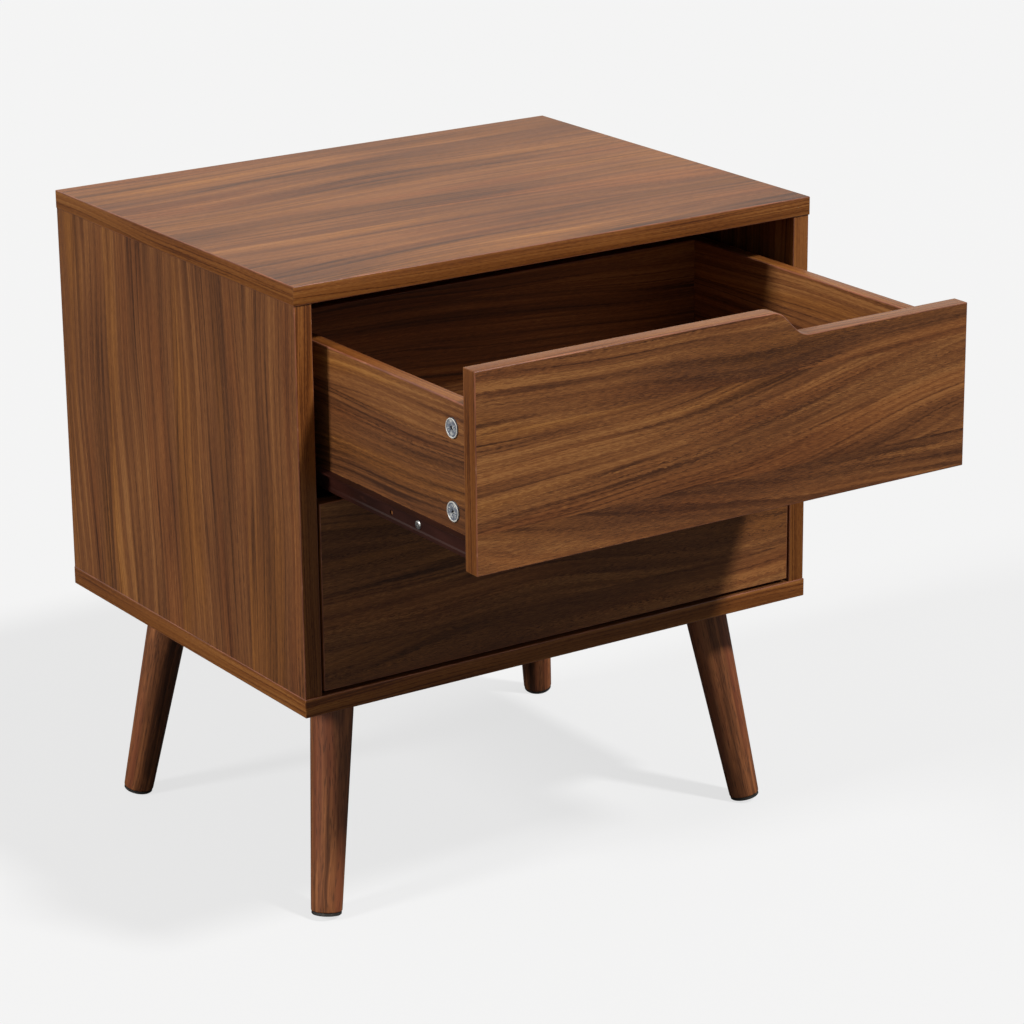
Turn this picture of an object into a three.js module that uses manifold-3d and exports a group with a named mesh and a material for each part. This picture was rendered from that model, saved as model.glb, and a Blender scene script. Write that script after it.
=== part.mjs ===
// Two-drawer nightstand on four splayed round legs.
// Millimetres, +Z up, -Y is the front. Origin on the floor, under the middle of the cabinet.
// The upper drawer rests pulled out, the lower drawer rests closed.

import * as THREE from "three";
import { mergeVertices } from "three/addons/utils/BufferGeometryUtils.js";
import Module from "manifold-3d";

const wasm = await Module();
wasm.setup();

// ---- cabinet ----
const CABINET_WIDTH = 480;
const CABINET_DEPTH = 380;
const BOARD = 15; // thickness of every cabinet board and drawer front
const OVERHANG_X = 0.5; // top and bottom board past the side panels
const OVERHANG_Y = 1; // top and bottom board past the front edges
const INTERIOR_HEIGHT = 309;
const LEG_DROP = 186; // floor to the underside of the bottom board
const BACK_THICKNESS = 4;
const BACK_INSET = 15; // back panel from the rear edges
const GROOVE = 5;

// ---- drawer fronts ----
const FRONT_HEIGHT = 150;
const FRONT_SIDE_GAP = 2;
const LOWER_FRONT_LIFT = 3; // gap under the lower front
const UPPER_FRONT_LIFT = 157; // upper front's bottom edge above the bottom board
const GRIP_DROP = 21; // the right-hand part of the top edge lies lower
const GRIP_START_X = 36.5;
const GRIP_CREST_RADIUS = 17;
const GRIP_FOOT_RADIUS = 18;
const UPPER_PULL_OUT = 215; // how far the upper drawer stands open at rest

// ---- drawer boxes, heights measured from the front's bottom edge ----
const BOX_OUTER = 212; // half the box width
const BOX_BOARD = 12;
const BOX_BOTTOM = 6;
const BOX_TOP = 117;
const BOX_LENGTH = 311;
const FLOOR_THICKNESS = 4;
const FLOOR_TOP = 22.5;

// ---- cam locks in the drawer sides ----
const CAM_DIAMETER = 15;
const CAM_DEPTH = 8;
const CAM_PROUD = 1.2;
const CAM_SETBACK = 30.5; // behind the front's rear face
const CAM_HEIGHTS = { bottom: 34.5, top: 96.5 };
const CLEARANCE = 0.3;

// ---- roller slides, heights measured from the front's bottom edge ----
const SHEET = 1.2;
const RAIL_LENGTH = 300;
const DRAWER_RAIL_BOTTOM = BOX_BOTTOM - SHEET;
const DRAWER_RAIL_TOP = 20.5;
const DRAWER_RAIL_REACH = 7;
const CASE_RAIL_BOTTOM = 2.8;
const CASE_RAIL_TOP = 22.4;
const ROLLER_RADIUS = 7;
const CASE_ROLLER_HEIGHT = 12;
const DRAWER_ROLLER_HEIGHT = 11.3;
const ROLLER_WIDTH = 7.3;
const PIN_RADIUS = 2;
const ROLLER_END = 12; // roller axis from the end of its rail
const SCREW_SETBACK = 76; // behind the front's rear face
const SPARE_HOLE_SETBACK = 113;
const SCREW_HEIGHT = 12.2;
const TRAVEL_LIMIT = 225;

// ---- legs ----
const LEG_X = 179; // leg axis at the underside of the bottom board
const LEG_Y = 128;
const LEG_SPLAY = 0.152; // sideways run per unit of drop, in X and in Y
const LEG_TOP_RADIUS = 17.75;
const LEG_FOOT_RADIUS = 12.5;
const PAD_RADIUS = 12;
const PAD_THICKNESS = 2.5;

// ---- derived positions ----
const SIDE_OUT = CABINET_WIDTH / 2 - OVERHANG_X;
const SIDE_IN = SIDE_OUT - BOARD;
const FRONT_PLANE = -CABINET_DEPTH / 2 + OVERHANG_Y;
const REAR_PLANE = CABINET_DEPTH / 2;
const FLOOR_Z = LEG_DROP + BOARD;
const CEILING_Z = FLOOR_Z + INTERIOR_HEIGHT;
const FRONT_HALF = SIDE_IN - FRONT_SIDE_GAP;

// ---- surfaces ----
const surface = (color, roughness, metalness) => () =>
  new THREE.MeshStandardMaterial({ color, roughness, metalness });
const LAMINATE = surface(0x6a4329, 0.5, 0);
const LAMINATE_TOP = surface(0x7d5537, 0.45, 0);
const LAMINATE_BOX = surface(0x72482a, 0.5, 0);
const LAMINATE_DARK = surface(0x4a2f1c, 0.6, 0);
const LEG_WOOD = surface(0x633c26, 0.45, 0);
const RAIL_PAINT = surface(0x3b231e, 0.45, 0.1);
const ROLLER_PLASTIC = surface(0xd8d4cb, 0.5, 0);
const ZINC = surface(0x9a9ca1, 0.35, 0.9);
const STEEL = surface(0xb4b6ba, 0.3, 0.9);
const PAD_PLASTIC = surface(0x1c1b1a, 0.7, 0);

// ---- geometry helpers ----
const group = new THREE.Group();
group.name = "nightstand";

function add(name, geometry, material) {
  const mesh = new THREE.Mesh(geometry, material());
  mesh.name = name;
  group.add(mesh);
}

function box(xa, xb, ya, yb, za, zb) {
  const geometry = new THREE.BoxGeometry(Math.abs(xb - xa), Math.abs(yb - ya), Math.abs(zb - za));
  geometry.translate((xa + xb) / 2, (ya + yb) / 2, (za + zb) / 2);
  return geometry;
}

function shapeOf(points) {
  return new THREE.Shape(points.map(([a, b]) => new THREE.Vector2(a, b)));
}

// a profile in X and Z, drawn out along Y
function alongY(points, ya, yb) {
  const geometry = new THREE.ExtrudeGeometry(shapeOf(points), { depth: yb - ya, bevelEnabled: false });
  const turn = new THREE.Matrix4().makeBasis(
    new THREE.Vector3(1, 0, 0),
    new THREE.Vector3(0, 0, 1),
    new THREE.Vector3(0, -1, 0),
  );
  geometry.applyMatrix4(turn);
  geometry.translate(0, yb, 0);
  return geometry;
}

// a profile in Y and Z, drawn out along X
function alongX(points, xa, xb) {
  const geometry = new THREE.ExtrudeGeometry(shapeOf(points), { depth: xb - xa, bevelEnabled: false });
  const turn = new THREE.Matrix4().makeBasis(
    new THREE.Vector3(0, 1, 0),
    new THREE.Vector3(0, 0, 1),
    new THREE.Vector3(1, 0, 0),
  );
  geometry.applyMatrix4(turn);
  geometry.translate(xa, 0, 0);
  return geometry;
}

// a profile in X and Y, drawn up along Z
function alongZ(points, za, zb) {
  const geometry = new THREE.ExtrudeGeometry(shapeOf(points), { depth: zb - za, bevelEnabled: false });
  geometry.translate(0, 0, za);
  return geometry;
}

function facingOut(geometry) {
  const position = geometry.attributes.position;
  const index = geometry.index;
  const a = new THREE.Vector3();
  const b = new THREE.Vector3();
  const c = new THREE.Vector3();
  let volume = 0;
  for (let i = 0; i < index.count; i += 3) {
    a.fromBufferAttribute(position, index.getX(i));
    b.fromBufferAttribute(position, index.getX(i + 1));
    c.fromBufferAttribute(position, index.getX(i + 2));
    volume += a.dot(b.cross(c));
  }
  if (volume < 0) {
    for (let i = 0; i < index.count; i += 3) {
      const second = index.getX(i + 1);
      index.setX(i + 1, index.getX(i + 2));
      index.setX(i + 2, second);
    }
  }
  return geometry;
}

function welded(geometry) {
  const bare = geometry.clone();
  bare.deleteAttribute("normal");
  bare.deleteAttribute("uv");
  return facingOut(mergeVertices(bare, 1e-4));
}

// a turned profile of [radius, position] pairs about an axis along X
function turnedAboutX(profile, x, y, z, side, segments) {
  const points = profile.map(([r, h]) => new THREE.Vector2(r, h));
  const geometry = new THREE.LatheGeometry(points, segments);
  const turn = new THREE.Matrix4().makeBasis(
    new THREE.Vector3(0, 1, 0),
    new THREE.Vector3(side, 0, 0),
    new THREE.Vector3(0, 0, -side),
  );
  geometry.applyMatrix4(turn);
  geometry.translate(x, y, z);
  return welded(geometry);
}

function rodAlongX(radius, xa, xb, y, z, segments = 32) {
  const low = Math.min(xa, xb);
  const high = Math.max(xa, xb);
  const profile = [[0, 0], [radius, 0], [radius, high - low], [0, high - low]];
  return turnedAboutX(profile, low, y, z, 1, segments);
}

function solid(geometry) {
  const clean = welded(geometry);
  return new wasm.Manifold(new wasm.Mesh({
    numProp: 3,
    vertProperties: new Float32Array(clean.attributes.position.array),
    triVerts: new Uint32Array(clean.index.array),
  }));
}

function meshOf(manifold) {
  const mesh = manifold.getMesh();
  const geometry = new THREE.BufferGeometry();
  geometry.setAttribute("position", new THREE.BufferAttribute(new Float32Array(mesh.vertProperties), 3));
  geometry.setIndex(new THREE.BufferAttribute(new Uint32Array(mesh.triVerts), 1));
  const flat = geometry.toNonIndexed();
  flat.computeVertexNormals();
  return flat;
}

function combine(base, { add: added = [], cut = [] }) {
  let result = solid(base);
  for (const piece of added) {
    result = result.add(solid(piece));
  }
  for (const piece of cut) {
    result = result.subtract(solid(piece));
  }
  return meshOf(result);
}

// ---- cabinet boards ----
const boardX = CABINET_WIDTH / 2;
const boardY = CABINET_DEPTH / 2;
add("bottom_board", box(-boardX, boardX, -boardY, boardY, LEG_DROP, FLOOR_Z), LAMINATE);
add("top_board", box(-boardX, boardX, -boardY, boardY, CEILING_Z, CEILING_Z + BOARD), LAMINATE_TOP);

const backFront = REAR_PLANE - BACK_INSET - BACK_THICKNESS;
const backRear = REAR_PLANE - BACK_INSET;
for (const [word, side] of [["left", -1], ["right", 1]]) {
  const inner = side * SIDE_IN;
  const outer = side * SIDE_OUT;
  const grooved = side * (SIDE_IN + GROOVE);
  const profile = [
    [outer, FRONT_PLANE],
    [inner, FRONT_PLANE],
    [inner, backFront],
    [grooved, backFront],
    [grooved, backRear],
    [inner, backRear],
    [inner, REAR_PLANE],
    [outer, REAR_PLANE],
  ];
  add(`side_panel_${word}`, alongZ(profile, FLOOR_Z, CEILING_Z), LAMINATE);
}
const backHalf = SIDE_IN + GROOVE;
add("back_panel", box(-backHalf, backHalf, backFront, backRear, FLOOR_Z, CEILING_Z), LAMINATE_DARK);

// ---- drawers ----
function frontOutline(z) {
  const high = z + FRONT_HEIGHT;
  const low = high - GRIP_DROP;
  const half = Math.SQRT1_2;
  const crest = GRIP_CREST_RADIUS;
  const foot = GRIP_FOOT_RADIUS;
  const slope = GRIP_DROP - (crest + foot) * (1 - half);
  const endX = GRIP_START_X + (crest + foot) * half + slope;
  const points = [
    [-FRONT_HALF, z],
    [FRONT_HALF, z],
    [FRONT_HALF, low],
  ];
  const steps = 8;
  for (let i = 0; i <= steps; i += 1) {
    const angle = (Math.PI / 4) * (i / steps);
    points.push([endX - foot * Math.sin(angle), low + foot * (1 - Math.cos(angle))]);
  }
  for (let i = steps; i >= 0; i -= 1) {
    const angle = (Math.PI / 4) * (i / steps);
    points.push([GRIP_START_X + crest * Math.sin(angle), high - crest * (1 - Math.cos(angle))]);
  }
  points.push([-FRONT_HALF, high]);
  return points;
}

function drawerSide(side, y, z) {
  const outer = side * BOX_OUTER;
  const inner = side * (BOX_OUTER - BOX_BOARD);
  const grooved = inner + side * GROOVE;
  const floorTop = z + FLOOR_TOP;
  const floorUnder = floorTop - FLOOR_THICKNESS;
  const profile = [
    [outer, z + BOX_BOTTOM],
    [inner, z + BOX_BOTTOM],
    [inner, floorUnder],
    [grooved, floorUnder],
    [grooved, floorTop],
    [inner, floorTop],
    [inner, z + BOX_TOP],
    [outer, z + BOX_TOP],
  ];
  const deepest = side * (BOX_OUTER - CAM_DEPTH - CLEARANCE);
  const bores = Object.values(CAM_HEIGHTS).map((height) =>
    rodAlongX(CAM_DIAMETER / 2 + CLEARANCE, deepest, outer + side * 2, y + CAM_SETBACK, z + height, 40));
  return combine(alongY(profile, y, y + BOX_LENGTH), { cut: bores });
}

function cam(side, y, z) {
  const inside = side * (BOX_OUTER - CAM_DEPTH);
  const face = side * (BOX_OUTER + CAM_PROUD);
  const length = CAM_DEPTH + CAM_PROUD;
  const radius = CAM_DIAMETER / 2;
  const profile = [[0, 0], [radius, 0], [radius, length - 0.4], [radius - 0.4, length], [0, length]];
  const body = turnedAboutX(profile, inside, y, z, side, 40);
  const recess = face - side * 1.6;
  return combine(body, {
    cut: [
      box(recess, face + side, y - 3, y + 3, z - 0.6, z + 0.6),
      box(recess, face + side, y - 0.6, y + 0.6, z - 3, z + 3),
    ],
  });
}

function drawerRail(side, y, z) {
  const outer = side * BOX_OUTER;
  const web = outer + side * SHEET;
  const bead = web + side * 0.8;
  const tip = outer + side * DRAWER_RAIL_REACH;
  const under = outer - side * (BOX_BOARD - 1);
  const bottom = z + DRAWER_RAIL_BOTTOM;
  const top = z + DRAWER_RAIL_TOP;
  const profile = [
    [under, bottom],
    [bead, bottom],
    [bead, bottom + 2.6],
    [web, bottom + 3.8],
    [web, top - SHEET],
    [tip, top - SHEET],
    [tip, top],
    [outer, top],
    [outer, z + BOX_BOTTOM],
    [under, z + BOX_BOTTOM],
  ];
  const rollerY = y + RAIL_LENGTH - ROLLER_END;
  const pinEnd = web + side * 6.3;
  return combine(alongY(profile, y, y + RAIL_LENGTH), {
    add: [rodAlongX(PIN_RADIUS, outer + side * 0.4, pinEnd, rollerY, z + DRAWER_ROLLER_HEIGHT, 24)],
    cut: [
      rodAlongX(2.3, outer - side, web + side, y + SCREW_SETBACK, z + SCREW_HEIGHT, 24),
      rodAlongX(2, outer - side, web + side, y + SPARE_HOLE_SETBACK, z + SCREW_HEIGHT - 0.7, 24),
    ],
  });
}

function railScrew(side, y, z) {
  const foot = side * BOX_OUTER;
  const profile = [
    [0, 0],
    [2, 0],
    [2, SHEET],
    [3.5, SHEET],
    [3.5, SHEET + 0.5],
    [3, SHEET + 1],
    [2.2, SHEET + 1.25],
    [0, SHEET + 1.25],
  ];
  const body = turnedAboutX(profile, foot, y, z, side, 32);
  const recess = foot + side * (SHEET + 0.4);
  const beyond = foot + side * 4;
  return combine(body, {
    cut: [
      box(recess, beyond, y - 1.5, y + 1.5, z - 0.35, z + 0.35),
      box(recess, beyond, y - 0.35, y + 0.35, z - 1.5, z + 1.5),
    ],
  });
}

function caseRail(side, z) {
  const outer = side * SIDE_IN;
  const web = outer - side * SHEET;
  const lowTip = outer - side * 9.5;
  const highTip = outer - side * 8.5;
  const bottom = z + CASE_RAIL_BOTTOM;
  const top = z + CASE_RAIL_TOP;
  const profile = [
    [outer, bottom],
    [lowTip, bottom],
    [lowTip, bottom + SHEET],
    [web, bottom + SHEET],
    [web, top - SHEET],
    [highTip, top - SHEET],
    [highTip, top],
    [outer, top],
  ];
  const start = FRONT_PLANE + BOARD + 2;
  const axisY = start + ROLLER_END;
  const pinEnd = web - side * 6.3;
  const stopRear = FRONT_PLANE + BOARD + RAIL_LENGTH - ROLLER_END - TRAVEL_LIMIT - 3.5;
  const stop = box(
    outer - side * 3,
    outer - side * 8,
    stopRear - 2,
    stopRear,
    bottom + 0.4,
    bottom + SHEET + 0.9,
  );
  return combine(alongY(profile, start, start + RAIL_LENGTH), {
    add: [
      rodAlongX(PIN_RADIUS, outer - side * 0.4, pinEnd, axisY, z + CASE_ROLLER_HEIGHT, 24),
      stop,
    ],
  });
}

// open end of the bore at x, closed face away from it
function roller(x, y, z, side) {
  const bore = PIN_RADIUS + CLEARANCE;
  const edge = ROLLER_RADIUS - 0.5;
  const profile = [
    [0, 6],
    [bore, 6],
    [bore, 0],
    [edge, 0],
    [ROLLER_RADIUS, 0.5],
    [ROLLER_RADIUS, ROLLER_WIDTH - 0.5],
    [edge, ROLLER_WIDTH],
    [0, ROLLER_WIDTH],
  ];
  return turnedAboutX(profile, x, y, z, side, 48);
}

function drawer(level, lift, pullOut) {
  const z = FLOOR_Z + lift;
  const front = FRONT_PLANE - pullOut;
  const boxFront = front + BOARD;
  const inner = BOX_OUTER - BOX_BOARD;
  const floorHalf = inner + GROOVE;
  const backInner = boxFront + BOX_LENGTH - BOX_BOARD;
  const backOuter = boxFront + BOX_LENGTH;
  const floorTop = z + FLOOR_TOP;
  const floorUnder = floorTop - FLOOR_THICKNESS;

  add(`${level}_drawer_front`, alongY(frontOutline(z), front, boxFront), LAMINATE);
  const backProfile = [
    [backOuter, z + BOX_BOTTOM],
    [backOuter, z + BOX_TOP],
    [backInner, z + BOX_TOP],
    [backInner, floorTop],
    [backInner + GROOVE, floorTop],
    [backInner + GROOVE, floorUnder],
    [backInner, floorUnder],
    [backInner, z + BOX_BOTTOM],
  ];
  add(`${level}_drawer_back`, alongX(backProfile, -inner, inner), LAMINATE_BOX);
  const floorBack = backInner + GROOVE;
  const panel = [
    [-floorHalf, boxFront],
    [floorHalf, boxFront],
    [floorHalf, backInner],
    [inner, backInner],
    [inner, floorBack],
    [-inner, floorBack],
    [-inner, backInner],
    [-floorHalf, backInner],
  ];
  add(`${level}_drawer_bottom`, alongZ(panel, floorUnder, floorTop), LAMINATE_DARK);

  for (const [word, side] of [["left", -1], ["right", 1]]) {
    add(`${level}_drawer_side_${word}`, drawerSide(side, boxFront, z), LAMINATE_BOX);
    for (const [place, height] of Object.entries(CAM_HEIGHTS)) {
      add(`${level}_cam_${word}_${place}`, cam(side, boxFront + CAM_SETBACK, z + height), ZINC);
    }
    add(`${level}_drawer_rail_${word}`, drawerRail(side, boxFront, z), RAIL_PAINT);
    add(`${level}_rail_screw_${word}`, railScrew(side, boxFront + SCREW_SETBACK, z + SCREW_HEIGHT), STEEL);
    add(`${level}_case_rail_${word}`, caseRail(side, z), RAIL_PAINT);

    const drawerRollerX = side * (BOX_OUTER + SHEET + 1.3);
    const drawerRollerY = boxFront + RAIL_LENGTH - ROLLER_END;
    const drawerRollerZ = z + DRAWER_ROLLER_HEIGHT;
    add(
      `${level}_drawer_roller_${word}`,
      roller(drawerRollerX, drawerRollerY, drawerRollerZ, side),
      ROLLER_PLASTIC,
    );
    const caseRollerX = side * (SIDE_IN - SHEET - 0.7);
    const caseRollerY = FRONT_PLANE + BOARD + 2 + ROLLER_END;
    const caseRollerZ = z + CASE_ROLLER_HEIGHT;
    add(
      `${level}_case_roller_${word}`,
      roller(caseRollerX, caseRollerY, caseRollerZ, -side),
      ROLLER_PLASTIC,
    );
  }
}

drawer("upper", UPPER_FRONT_LIFT, UPPER_PULL_OUT);
drawer("lower", LOWER_FRONT_LIFT, 0);

// ---- legs and pads ----
// a tapered round leg, square across its foot and cut level at its top
function leg(foot, up, footRadius, slope, topZ) {
  const segments = 56;
  const across = new THREE.Vector3().crossVectors(up, new THREE.Vector3(0, 1, 0)).normalize();
  const along = new THREE.Vector3().crossVectors(up, across);
  const reach = (topZ - foot.z) / up.z;
  const positions = [foot.x, foot.y, foot.z, foot.x + up.x * reach, foot.y + up.y * reach, topZ];
  for (let i = 0; i < segments; i += 1) {
    const angle = (2 * Math.PI * i) / segments;
    const out = across.clone().multiplyScalar(Math.cos(angle)).addScaledVector(along, Math.sin(angle));
    const low = foot.clone().addScaledVector(out, footRadius);
    const s = (topZ - low.z) / (up.z + slope * out.z);
    const high = low.clone().addScaledVector(up, s).addScaledVector(out, slope * s);
    positions.push(low.x, low.y, low.z, high.x, high.y, topZ);
  }
  const faces = [];
  for (let i = 0; i < segments; i += 1) {
    const low = 2 + 2 * i;
    const high = low + 1;
    const nextLow = 2 + 2 * ((i + 1) % segments);
    const nextHigh = nextLow + 1;
    faces.push(0, nextLow, low);
    faces.push(low, nextLow, nextHigh);
    faces.push(low, nextHigh, high);
    faces.push(1, high, nextHigh);
  }
  const geometry = new THREE.BufferGeometry();
  geometry.setAttribute("position", new THREE.Float32BufferAttribute(positions, 3));
  geometry.setIndex(faces);
  const flat = facingOut(geometry).toNonIndexed();
  flat.computeVertexNormals();
  return flat;
}

const corners = [
  ["front_left", -1, -1],
  ["front_right", 1, -1],
  ["back_left", -1, 1],
  ["back_right", 1, 1],
];
for (const [word, sideX, sideY] of corners) {
  const down = new THREE.Vector3(sideX * LEG_SPLAY, sideY * LEG_SPLAY, -1).normalize();
  const up = down.clone().negate();
  const tilt = Math.acos(up.z);
  const padZ = PAD_RADIUS * Math.sin(tilt);
  const top = new THREE.Vector3(sideX * LEG_X, sideY * LEG_Y, LEG_DROP);
  const padEnd = top.clone().addScaledVector(down, (LEG_DROP - padZ) / up.z);
  const legEnd = padEnd.clone().addScaledVector(up, PAD_THICKNESS + 0.05);
  const legLength = (LEG_DROP - legEnd.z) / up.z;
  const slope = (LEG_TOP_RADIUS - LEG_FOOT_RADIUS) / legLength;
  add(`leg_${word}`, leg(legEnd, up, LEG_FOOT_RADIUS, slope, LEG_DROP), LEG_WOOD);

  const rim = 0.6;
  const profile = [
    [0, 0],
    [PAD_RADIUS - rim, 0],
    [PAD_RADIUS, rim],
    [PAD_RADIUS, PAD_THICKNESS],
    [0, PAD_THICKNESS],
  ];
  const points = profile.map(([r, h]) => new THREE.Vector2(r, h));
  const pad = new THREE.LatheGeometry(points, 48);
  const turn = new THREE.Quaternion().setFromUnitVectors(new THREE.Vector3(0, 1, 0), up);
  pad.applyQuaternion(turn);
  pad.translate(padEnd.x, padEnd.y, padEnd.z);
  add(`foot_pad_${word}`, welded(pad), PAD_PLASTIC);
}

export default group;
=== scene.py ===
"""Walnut-laminate nightstand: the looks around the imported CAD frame.

Metres, +Z up, -Y is the front. Boards are rebuilt as laminated panels with edge bands, the
legs as turned wood and the cams as castings. The rails, rollers, screws and pads keep their
CAD shapes.
"""

import math

import bmesh
import bpy
from mathutils import Matrix, Vector


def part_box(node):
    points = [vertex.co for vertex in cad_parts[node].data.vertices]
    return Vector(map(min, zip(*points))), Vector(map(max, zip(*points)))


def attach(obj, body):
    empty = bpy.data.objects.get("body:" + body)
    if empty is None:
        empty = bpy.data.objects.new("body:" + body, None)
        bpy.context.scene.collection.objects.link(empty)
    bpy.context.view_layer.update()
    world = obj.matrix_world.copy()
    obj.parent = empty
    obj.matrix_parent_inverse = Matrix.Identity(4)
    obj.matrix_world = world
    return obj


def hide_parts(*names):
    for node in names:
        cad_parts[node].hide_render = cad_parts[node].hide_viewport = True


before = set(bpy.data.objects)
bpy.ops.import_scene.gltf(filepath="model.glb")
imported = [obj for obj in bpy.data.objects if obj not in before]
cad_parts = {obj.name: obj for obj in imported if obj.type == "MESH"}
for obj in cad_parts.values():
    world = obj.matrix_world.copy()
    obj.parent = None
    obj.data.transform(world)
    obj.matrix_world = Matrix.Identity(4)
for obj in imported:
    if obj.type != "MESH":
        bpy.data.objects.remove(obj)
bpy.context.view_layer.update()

MM = 0.001
LEVELS = ("upper", "lower")
SIDES = (("left", -1), ("right", 1))
AXES = {"x": 0, "y": 1, "z": 2}


# ---------------------------------------------------------------------------
# colours
# ---------------------------------------------------------------------------

def colour(red, green, blue):
    """An 8-bit display colour as the linear colour that shader sockets take."""
    linear = []
    for value in (red, green, blue):
        v = value / 255
        linear.append(v / 12.92 if v <= 0.04045 else ((v + 0.055) / 1.055) ** 2.4)
    return (*linear, 1.0)


# ---------------------------------------------------------------------------
# shader building blocks
# ---------------------------------------------------------------------------

class Shader:
    """A new material with short calls for the nodes that the patterns use."""

    def __init__(self, name):
        self.material = bpy.data.materials.new(name)
        self.material.use_nodes = True
        self.tree = self.material.node_tree
        self.nodes = self.tree.nodes
        self.bsdf = self.nodes["Principled BSDF"]

    def node(self, kind, **settings):
        made = self.nodes.new(kind)
        for key, value in settings.items():
            setattr(made, key, value)
        return made

    def plug(self, value, socket):
        if isinstance(value, bpy.types.NodeSocket):
            self.tree.links.new(value, socket)
        else:
            socket.default_value = value

    def maths(self, operation, a, b=0.0):
        made = self.node("ShaderNodeMath", operation=operation)
        self.plug(a, made.inputs[0])
        self.plug(b, made.inputs[1])
        return made.outputs[0]

    def add(self, a, b):
        return self.maths("ADD", a, b)

    def times(self, a, b):
        return self.maths("MULTIPLY", a, b)

    def swing(self, value, reach):
        """A value from 0 to 1 as half of reach either way from 0."""
        return self.times(self.add(value, -0.5), reach)

    def spread(self, value, low, high, to_low=0.0, to_high=1.0):
        """value from low..high to to_low..to_high, eased, and held at the ends."""
        made = self.node("ShaderNodeMapRange", interpolation_type="SMOOTHSTEP")
        self.plug(value, made.inputs["Value"])
        made.inputs["From Min"].default_value = low
        made.inputs["From Max"].default_value = high
        made.inputs["To Min"].default_value = to_low
        made.inputs["To Max"].default_value = to_high
        return made.outputs["Result"]

    def uv(self):
        return self.node("ShaderNodeTexCoord").outputs["UV"]

    def local(self):
        return self.node("ShaderNodeTexCoord").outputs["Object"]

    def parts(self, vector):
        made = self.node("ShaderNodeSeparateXYZ")
        self.plug(vector, made.inputs[0])
        return made.outputs

    def vector(self, x, y, z=0.0):
        made = self.node("ShaderNodeCombineXYZ")
        for value, socket in zip((x, y, z), made.inputs):
            self.plug(value, socket)
        return made.outputs[0]

    def scaled(self, vector, scale):
        made = self.node("ShaderNodeVectorMath", operation="MULTIPLY")
        self.plug(vector, made.inputs[0])
        made.inputs[1].default_value = scale
        return made.outputs[0]

    def noise(self, vector, scale, detail=2.0, roughness=0.5):
        """Soft noise, 0 to 1. scale is its repeats to a metre, on each axis."""
        made = self.node("ShaderNodeTexNoise")
        self.plug(self.scaled(vector, scale), made.inputs["Vector"])
        made.inputs["Scale"].default_value = 1.0
        made.inputs["Detail"].default_value = detail
        made.inputs["Roughness"].default_value = roughness
        return made.outputs["Fac"]

    def cells(self, vector, scale):
        """Distance to the nearest of strewn points. scale is points to a metre, on each axis."""
        made = self.node("ShaderNodeTexVoronoi")
        self.plug(self.scaled(vector, scale), made.inputs["Vector"])
        made.inputs["Scale"].default_value = 1.0
        return made.outputs["Distance"]

    def ramp(self, value, stops):
        made = self.node("ShaderNodeValToRGB")
        self.plug(value, made.inputs["Fac"])
        elements = made.color_ramp.elements
        while len(elements) < len(stops):
            elements.new(0.5)
        for element, (position, tint) in zip(elements, stops):
            element.position = position
            element.color = tint
        return made.outputs["Color"]

    def mix(self, factor, a, b, blend="MIX"):
        made = self.node("ShaderNodeMix", data_type="RGBA", blend_type=blend)
        self.plug(factor, made.inputs[0])
        self.plug(a, made.inputs[6])
        self.plug(b, made.inputs[7])
        return made.outputs[2]

    def bump(self, height, depth, strength=1.0):
        made = self.node("ShaderNodeBump")
        made.inputs["Distance"].default_value = depth
        made.inputs["Strength"].default_value = strength
        self.plug(height, made.inputs["Height"])
        self.plug(made.outputs["Normal"], self.bsdf.inputs["Normal"])

    def finish(self, tint, roughness, metallic=0.0, specular=0.5):
        self.plug(tint, self.bsdf.inputs["Base Color"])
        self.plug(roughness, self.bsdf.inputs["Roughness"])
        self.bsdf.inputs["Metallic"].default_value = metallic
        self.bsdf.inputs["Specular IOR Level"].default_value = specular
        return self.material


# ---------------------------------------------------------------------------
# wood
# ---------------------------------------------------------------------------

WALNUT = (
    (0.00, colour(58, 33, 20)),
    (0.22, colour(83, 50, 29)),
    (0.50, colour(106, 65, 37)),
    (0.78, colour(127, 81, 45)),
    (1.00, colour(148, 101, 58)),
)
WALNUT_DARK = colour(56, 33, 23)
REDDER = (1.0, 0.92, 0.88, 1.0)
MORE_GOLDEN = (1.14, 1.12, 0.86, 1.0)
# the noise scale for coordinates that are stretched already
AS_IS = (1, 1, 1)


def planks(s, across, width):
    """The place across a plank, the plank's own slice of the noise, and its random numbers."""
    row = s.times(across, 1 / width)
    number = s.maths("FLOOR", row)
    middle = s.swing(s.maths("FRACT", row), width)
    chance = s.node("ShaderNodeTexWhiteNoise", noise_dimensions="1D")
    s.plug(number, chance.inputs["W"])
    return middle, s.times(number, 7.3), s.parts(chance.outputs["Color"])


def fibre_rows(s, along, across):
    """Coordinates in which each row of fibres is shifted along the grain by its own amount."""
    shift = s.noise(s.vector(0.0, s.times(across, 620.0), 9.0), AS_IS, 0.0)
    return s.vector(s.add(along, s.times(shift, 0.06)), across)


def redder_and_golder(s, wood, hue, gold):
    """The wood with some areas redder and some more golden."""
    wood = s.mix(s.spread(hue, 0.48, 0.32), wood, REDDER, "MULTIPLY")
    return s.mix(s.spread(hue, 0.50, 0.68, 0.0, gold), wood, MORE_GOLDEN, "MULTIPLY")


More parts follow.
